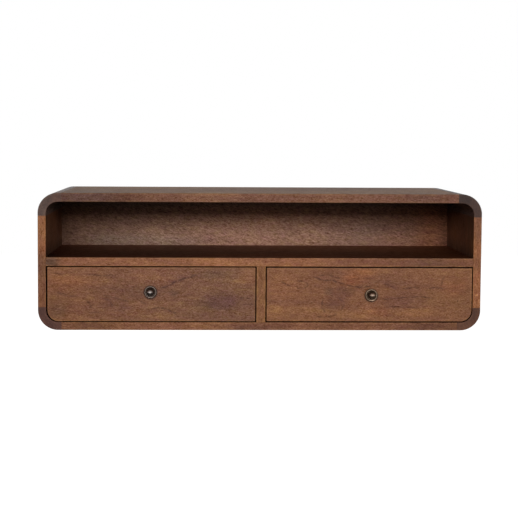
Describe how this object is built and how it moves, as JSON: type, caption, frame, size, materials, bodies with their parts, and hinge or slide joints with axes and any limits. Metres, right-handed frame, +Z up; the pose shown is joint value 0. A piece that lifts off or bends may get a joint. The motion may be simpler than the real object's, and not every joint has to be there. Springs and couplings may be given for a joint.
{
  "type": "wall-mounted console",
  "caption": "Low round-cornered wooden wall console with an open compartment above sliding drawers with ball knobs.",
  "frame": {"origin": "on the wall plane, at the middle of the width and on the line of the wall screws that the keyhole plates hang on", "axes": "+X to the right seen from the front, +Y into the wall, +Z up; the front faces -Y"},
  "size_m": [0.97, 0.324, 0.3],
  "materials": {
    "stained_wood": "satin brown stain on solid wood, grain along each board",
    "end_grain_wood": "satin dark stain on end grain",
    "drawer_front_wood": "satin brown stain, figured horizontal grain",
    "inner_wood": "plain unstained wood",
    "panel_wood": "satin stained plywood",
    "antique_brass": "antique brass, dark in the hollows",
    "zinc_plated_steel": "bright zinc plate"
  },
  "bodies": {
    "case": {"top_board": "stained_wood", "bottom_board": "stained_wood", "left_side_board": "stained_wood", "right_side_board": "stained_wood", "middle_shelf": "stained_wood", "center_divider": "stained_wood", "corner_block_top_left": "end_grain_wood", "corner_block_top_right": "end_grain_wood", "corner_block_bottom_left": "end_grain_wood", "corner_block_bottom_right": "end_grain_wood", "flat_tongue_top_left": "inner_wood", "flat_tongue_top_right": "inner_wood", "flat_tongue_bottom_left": "inner_wood", "flat_tongue_bottom_right": "inner_wood", "upright_tongue_top_left": "inner_wood", "upright_tongue_top_right": "inner_wood", "upright_tongue_bottom_left": "inner_wood", "upright_tongue_bottom_right": "inner_wood", "back_panel": "panel_wood", "hanging_rail": "inner_wood", "lower_rear_rail": "inner_wood", "left_keyhole_plate": "zinc_plated_steel", "right_keyhole_plate": "zinc_plated_steel", "left_plate_upper_screw": "zinc_plated_steel", "left_plate_lower_screw": "zinc_plated_steel", "right_plate_upper_screw": "zinc_plated_steel", "right_plate_lower_screw": "zinc_plated_steel", "left_outer_runner": "inner_wood", "left_inner_runner": "inner_wood", "right_inner_runner": "inner_wood", "right_outer_runner": "inner_wood", "left_outer_runner_front_screw": "zinc_plated_steel", "left_outer_runner_rear_screw": "zinc_plated_steel", "left_inner_runner_front_screw": "zinc_plated_steel", "left_inner_runner_rear_screw": "zinc_plated_steel", "right_inner_runner_front_screw": "zinc_plated_steel", "right_inner_runner_rear_screw": "zinc_plated_steel", "right_outer_runner_front_screw": "zinc_plated_steel", "right_outer_runner_rear_screw": "zinc_plated_steel"},
    "left_drawer": {"left_drawer_front": "drawer_front_wood", "left_drawer_outer_side": "inner_wood", "left_drawer_inner_side": "inner_wood", "left_drawer_back": "inner_wood", "left_drawer_bottom": "panel_wood", "left_knob": "antique_brass", "left_knob_rosette": "antique_brass", "left_knob_washer": "zinc_plated_steel", "left_knob_screw": "zinc_plated_steel"},
    "right_drawer": {"right_drawer_front": "drawer_front_wood", "right_drawer_outer_side": "inner_wood", "right_drawer_inner_side": "inner_wood", "right_drawer_back": "inner_wood", "right_drawer_bottom": "panel_wood", "right_knob": "antique_brass", "right_knob_rosette": "antique_brass", "right_knob_washer": "zinc_plated_steel", "right_knob_screw": "zinc_plated_steel"}
  },
  "joints": [
    {"name": "left_drawer_slide", "type": "slide", "parent": "case", "child": "left_drawer", "axis": [0, -1, 0], "range_m": [0, 0.18]},
    {"name": "right_drawer_slide", "type": "slide", "parent": "case", "child": "right_drawer", "axis": [0, -1, 0], "range_m": [0, 0.18]}
  ]
}
